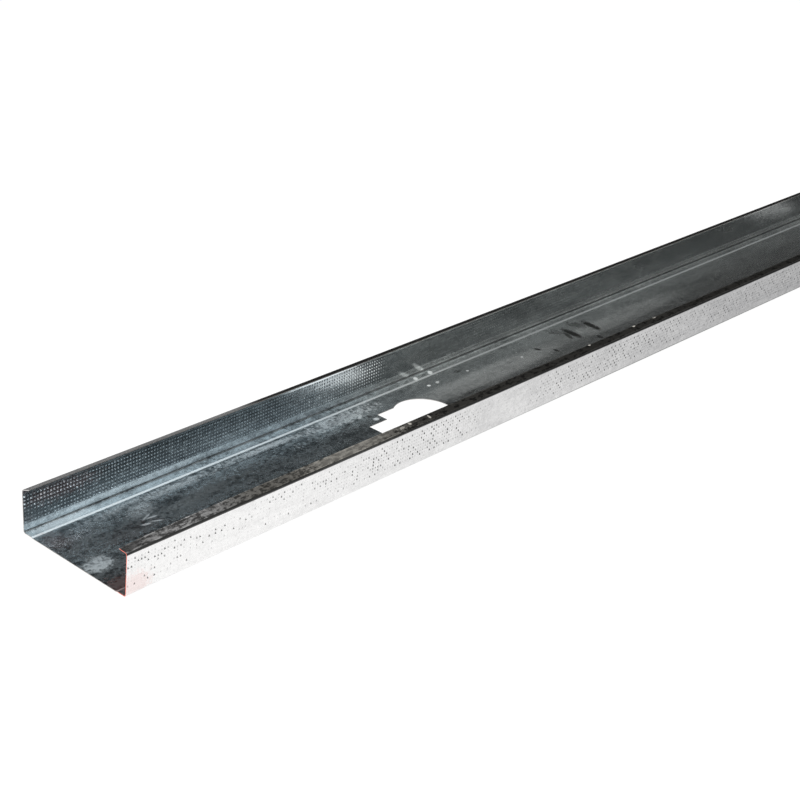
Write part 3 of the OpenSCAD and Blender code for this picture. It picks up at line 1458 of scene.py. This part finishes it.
@dataclass(frozen=True)
class CutEdgeFinish:
    """The sheet's sheared edges, bare steel with rust at the near corner of the start.

    Args:
        steel: Colour of the sheared steel.
        rust: Colour of the rust.
        rust_depth: Distances from the stud's end over which the rust ends.
        rust_edge: Places along Y over which the rust ends.
        torn: Noise over which the rust's outline is torn.
        least: How strongly the rust shows at least.
        rough: How rough the steel is, and how much rougher the rust is.
        metallic: How metallic the steel is, and how much less the rust is.
        waves: Waves in a metre of that noise.
    """

    steel: Colour = (0.62, 0.60, 0.58)
    rust: Colour = (0.86, 0.20, 0.14)
    rust_depth: Pair = (1 * MM, 2 * MM)
    rust_edge: Pair = (-42 * MM, -36 * MM)
    torn: Pair = (0.3, 0.5)
    least: float = 0.35
    rough: Pair = (0.35, 0.3)
    metallic: Pair = (0.9, -0.85)
    waves: float = 700

    def material(self, section: StudSection) -> bpy.types.Material:
        """Returns the cut edges' material.

        Args:
            section: The section's sizes.
        """
        made = bpy.data.materials.new("cut_edge")
        made.use_nodes = True
        bench = NodeBench(made.node_tree)
        shader = made.node_tree.nodes["Principled BSDF"]
        place = bench.add("TexCoord").outputs["Object"]
        parts = bench.parts(place)
        depths = (section.start_x + depth for depth in self.rust_depth)
        end = bench.ramp(parts["X"], *depths, 1.0, 0.0)
        corner = bench.ramp(parts["Y"], *self.rust_edge, 1.0, 0.0)
        rag = bench.ramp(bench.noise(place, self.waves, 3.0), *self.torn, self.least, 1.0)
        mask = bench.maths("MULTIPLY", bench.maths("MULTIPLY", end, corner), rag)
        colour = bench.blend(mask, (*self.steel, 1), (*self.rust, 1))
        bench.feed(shader.inputs["Base Color"], colour)
        for label, (plain, change) in (("Roughness", self.rough), ("Metallic", self.metallic)):
            bench.feed(shader.inputs[label], bench.maths("MULTIPLY_ADD", mask, change, plain))
        return made


def coat_sheet(section: StudSection) -> SheetCoats:
    """Returns the sheet's materials, built over shared node groups.

    Args:
        section: The section's sizes.
    """
    groups = (SheetZones(section, ZoneEdges()), ZincSkin(), SoftSpot())
    outside = ZincFinish(
        "zinc_outside",
        pale=(0.86, 0.855, 0.85),
        dull=(0.26, 0.26, 0.265),
        # The outside's fall in tone along the stud is painted shade, the light's falloff.
        tone=(1.02, 0.15),
        grain=0.3,
        clouds=0.3,
        streaks=0.2,
        pale_marks=OUTSIDE_PALE,
        dark_marks=OUTSIDE_DARK,
        rust_marks=OUTSIDE_RUST,
        # Painted shade in the foot bend, deepening along the stud.
        foot_shade=(0.0, 0.75),
        # Painted shade in the knurling's pits.
        pit_shade=(0.3, 0.95),
        pit_shown=(0.1, 0.75),
        # Painted shade along the top bend.
        bend_shade=0.92,
        far_fade=1.2,
        rust=(0.80, 0.50, 0.46),
    )
    inside = ZincFinish(
        "zinc_inside",
        pale=(0.88, 0.90, 0.91),
        dull=(0.22, 0.235, 0.245),
        tone=(0.66, 0.8),
        grain=2.3,
        clouds=2.1,
        streaks=2.0,
        cast=((0.90, 0.98, 1.02), (1.0, 1.01, 0.985)),
        pale_marks=INSIDE_PALE,
        dark_marks=INSIDE_DARK,
        rust_marks=INSIDE_RUST,
        # Painted highlights under the far lip.
        painted_highlight_marks=INSIDE_PAINTED_HIGHLIGHTS,
        # Painted light on the raised strips.
        strip_light=(0.5, -0.1),
        # Painted shade in the foot bend.
        foot_shade=(0.6, 0.85),
        far_fade=0.45,
        # Painted highlights and shade of the knurling.
        bump_light_and_shade=(0.6, 1.1),
        pit_shown=(0.02, 0.4),
        flange_calm=0.6,
    )
    return SheetCoats(
        outside=ZincCoat(outside, *groups).material(),
        inside=ZincCoat(inside, *groups).material(),
        cut_edge=CutEdgeFinish().material(section),
    )


@dataclass(frozen=True)
class Softbox:
    """One soft studio lamp that points at the stud.

    Args:
        name: The lamp's name.
        place: Where it hangs.
        aim: The point that it faces.
        size: Its width and height.
        watts: Its power.
    """

    name: str
    place: tuple[float, float, float]
    aim: tuple[float, float, float]
    size: tuple[float, float]
    watts: float

    def hang(self) -> None:
        """Makes the lamp."""
        data = bpy.data.lights.new(self.name, "AREA")
        data.shape = "RECTANGLE"
        data.size, data.size_y = self.size
        data.energy = self.watts
        lamp = put_in_scene(self.name, data)
        lamp.location = self.place
        way = Vector(self.aim) - Vector(self.place)
        lamp.rotation_euler = way.to_track_quat("-Z", "Y").to_euler()


@dataclass(frozen=True)
class CameraStand:
    """Where the camera stands, and how it is turned.

    Args:
        before: Its distance before the stud's near end.
        beside: Its distance beside the web's near edge.
        height: Its height over the floor.
        heading: The angle from the stud's length to its view, seen from above.
        tilt: The angle by which it looks down.
        roll: The angle by which it is rolled about its view.
        lens: Its focal length, in millimetres.
        sensor_w: The width of its sensor, in millimetres.
    """

    before: float = 0.52302
    beside: float = 0.61955
    height: float = 0.52165
    heading: float = math.radians(39.77)
    tilt: float = math.radians(25.78)
    roll: float = math.radians(5.01)
    lens: float = 76.9
    sensor_w: float = 36.0

    def set_up(self, section: StudSection) -> None:
        """Makes the camera the scene's own.

        Args:
            section: The section's sizes.
        """
        data = bpy.data.cameras.new("camera")
        data.lens = self.lens
        data.sensor_width = self.sensor_w
        camera = put_in_scene("camera", data)
        level, sink = math.cos(self.tilt), math.sin(self.tilt)
        cos, sin = math.cos(self.heading), math.sin(self.heading)
        ahead = Vector((level * cos, level * sin, -sink))
        right = Vector((sin, -cos, 0))
        up = right.cross(ahead)
        turned_right = right * math.cos(self.roll) + up * math.sin(self.roll)
        turned_up = up * math.cos(self.roll) - right * math.sin(self.roll)
        x, y = section.start_x - self.before, -section.web_w / 2 - self.beside
        axes = Matrix((turned_right, turned_up, -ahead)).transposed().to_4x4()
        camera.matrix_world = Matrix.Translation(Vector((x, y, self.height))) @ axes
        bpy.context.scene.camera = camera


@dataclass(frozen=True)
class Surroundings:
    """The world that the zinc mirrors: dim low down, a pale band, and pale overhead.

    A stop holds a height on the sky's unit sphere, its brightness there, and how cool it is.

    Args:
        walls: The stops of the band, which shows on the near side.
        ceiling: The stops of the pale part overhead, on every side.
        near_side: Places along Y on that sphere over which the band ends.
        band_left: How much of the band is left on the far side.
    """

    walls: tuple[Stop, ...] = (
        (0.0, 0.03, 0.0),
        (0.14, 0.04, 0.0),
        (0.25, 0.09, 0.0),
        (0.33, 0.2, 0.0),
        (0.40, 0.3, 0.0),
        (0.45, 0.42, 0.01),
        (0.50, 0.62, 0.05),
        (0.57, 0.66, 0.07),
        (0.64, 0.2, 0.05),
        (0.70, 0.05, 0.0),
        (1.0, 0.0, 0.0),
    )
    ceiling: tuple[Stop, ...] = (
        (0.68, 0.0, 0.0),
        (0.72, 0.14, 0.0),
        (0.76, 0.45, 0.0),
        (0.81, 0.8, 0.0),
        (1.0, 1.0, 0.0),
    )
    near_side: Pair = (-0.45, -0.05)
    band_left: float = 0.1

    def light(self) -> None:
        """Makes the world. The camera itself sees it white, so the floor shows no edge."""
        world = bpy.data.worlds.new("studio_world")
        world.use_nodes = True
        bpy.context.scene.world = world
        bench = NodeBench(world.node_tree)
        way = bench.parts(bench.add("TexCoord").outputs["Generated"])
        walls = self.graded(bench, way["Z"], self.walls)
        ceiling = self.graded(bench, way["Z"], self.ceiling)
        side = bench.ramp(way["Y"], *self.near_side, 1.0, self.band_left)
        both = bench.blend(1.0, bench.tint(1.0, walls, side), ceiling, "ADD")
        looking = bench.add("LightPath").outputs["Is Camera Ray"]
        seen = bench.blend(looking, both, (1, 1, 1, 1))
        bench.feed(world.node_tree.nodes["Background"].inputs["Color"], seen)

    def graded(self, bench: NodeBench, value: Socket, stops: tuple[Stop, ...]) -> Socket:
        """Returns a colour graded over a value.

        Args:
            bench: The bench of the tree.
            value: The value.
            stops: Each stop's place, its brightness, and how cool its tint is.
        """
        node = bench.add("ValToRGB")
        bench.feed(node.inputs[0], value)
        elements = node.color_ramp.elements
        while len(elements) < len(stops):
            elements.new(0.5)
        for element, (place, level, cool) in zip(elements, stops):
            element.position = place
            element.color = (level * (1 - cool), level, level * (1 + cool / 3), 1)
        return node.outputs[0]


@dataclass(frozen=True)
class PaleFloor:
    """The pale floor that the stud lies on.

    Args:
        size: Its length and width.
        plain: How much of the light it throws back on the stud.
        glow: The brightness that the camera and reflections see.
        shaded: The brightness that a full light adds to it, which shadows take away.
    """

    size: float = 60.0
    plain: float = 0.85
    glow: float = 0.9
    shaded: float = 0.14

    def lay(self) -> None:
        """Lays the floor."""
        bm = bmesh.new()
        bmesh.ops.create_grid(bm, x_segments=1, y_segments=1, size=self.size / 2)
        floor = put_in_scene("studio_floor", finished_mesh("studio_floor", bm))
        floor.data.materials.append(self.material())
        floor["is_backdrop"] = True

    def material(self) -> bpy.types.Material:
        """Returns the floor's white, which the camera and reflections see and shadows dim."""
        made = bpy.data.materials.new("pale_floor")
        made.use_nodes = True
        made.node_tree.nodes.clear()
        bench = NodeBench(made.node_tree)
        plain, shaded = bench.add("BsdfDiffuse"), bench.add("BsdfDiffuse")
        for diffuse, grey in ((plain, self.plain), (shaded, self.shaded)):
            bench.feed(diffuse.inputs["Color"], (grey, grey, grey, 1))
        glow = bench.add("Emission")
        bench.feed(glow.inputs["Strength"], self.glow)
        seen = bench.add("AddShader")
        bench.feed(seen.inputs[0], glow.outputs[0])
        bench.feed(seen.inputs[1], shaded.outputs[0])
        ray = bench.add("LightPath").outputs
        looking = bench.maths("MAXIMUM", ray["Is Camera Ray"], ray["Is Glossy Ray"])
        looking = bench.maths("MAXIMUM", looking, ray["Is Transmission Ray"])
        mix = bench.add("MixShader")
        for socket, value in zip(mix.inputs, (looking, plain.outputs[0], seen.outputs[0])):
            bench.feed(socket, value)
        bench.feed(bench.add("OutputMaterial").inputs["Surface"], mix.outputs[0])
        return made


@dataclass(frozen=True)
class Studio:
    """The plain floor, the world, the lamp and the camera.

    Args:
        section: The section's sizes, which the lamp and the camera are placed by.
        floor: The floor.
        surroundings: The world.
        camera: The camera's stand.
    """

    section: StudSection
    floor: PaleFloor = PaleFloor()
    surroundings: Surroundings = Surroundings()
    camera: CameraStand = CameraStand()

    def build(self) -> None:
        """Makes the whole studio."""
        self.floor.lay()
        self.surroundings.light()
        near = self.section.start_x
        key = Softbox(
            name="key",
            place=(near - 1.3, -1.3, 2.4),
            aim=(near + 0.6, 0, 0),
            size=(2.4, 2.4),
            watts=110,
        )
        key.hang()
        self.camera.set_up(self.section)


def attach(piece: bpy.types.Object) -> None:
    """Rides a finished piece on the stud's body and makes it stand for the CAD sheet.

    Args:
        piece: The finished piece.
    """
    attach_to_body(piece, BODY)
    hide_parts(CAD_NODE)
    LOG.info("%s: %d faces", piece.name, len(piece.data.polygons))


def main() -> None:
    """Builds the stud and its studio."""
    logging.basicConfig(level=logging.INFO, format="%(name)s: %(message)s")
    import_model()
    low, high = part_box(CAD_NODE)
    section = StudSection(length=high.x - low.x, start_x=low.x)
    coats = coat_sheet(section)
    attach(FormedSheet(section, ServiceHole(), coats).build())
    for side in Side:
        attach(KnurledBand(section, side, coats).build())
    Studio(section).build()
    bpy.context.scene.view_settings.view_transform = "Standard"
    low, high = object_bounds()


if __name__ == "__main__":
    main()
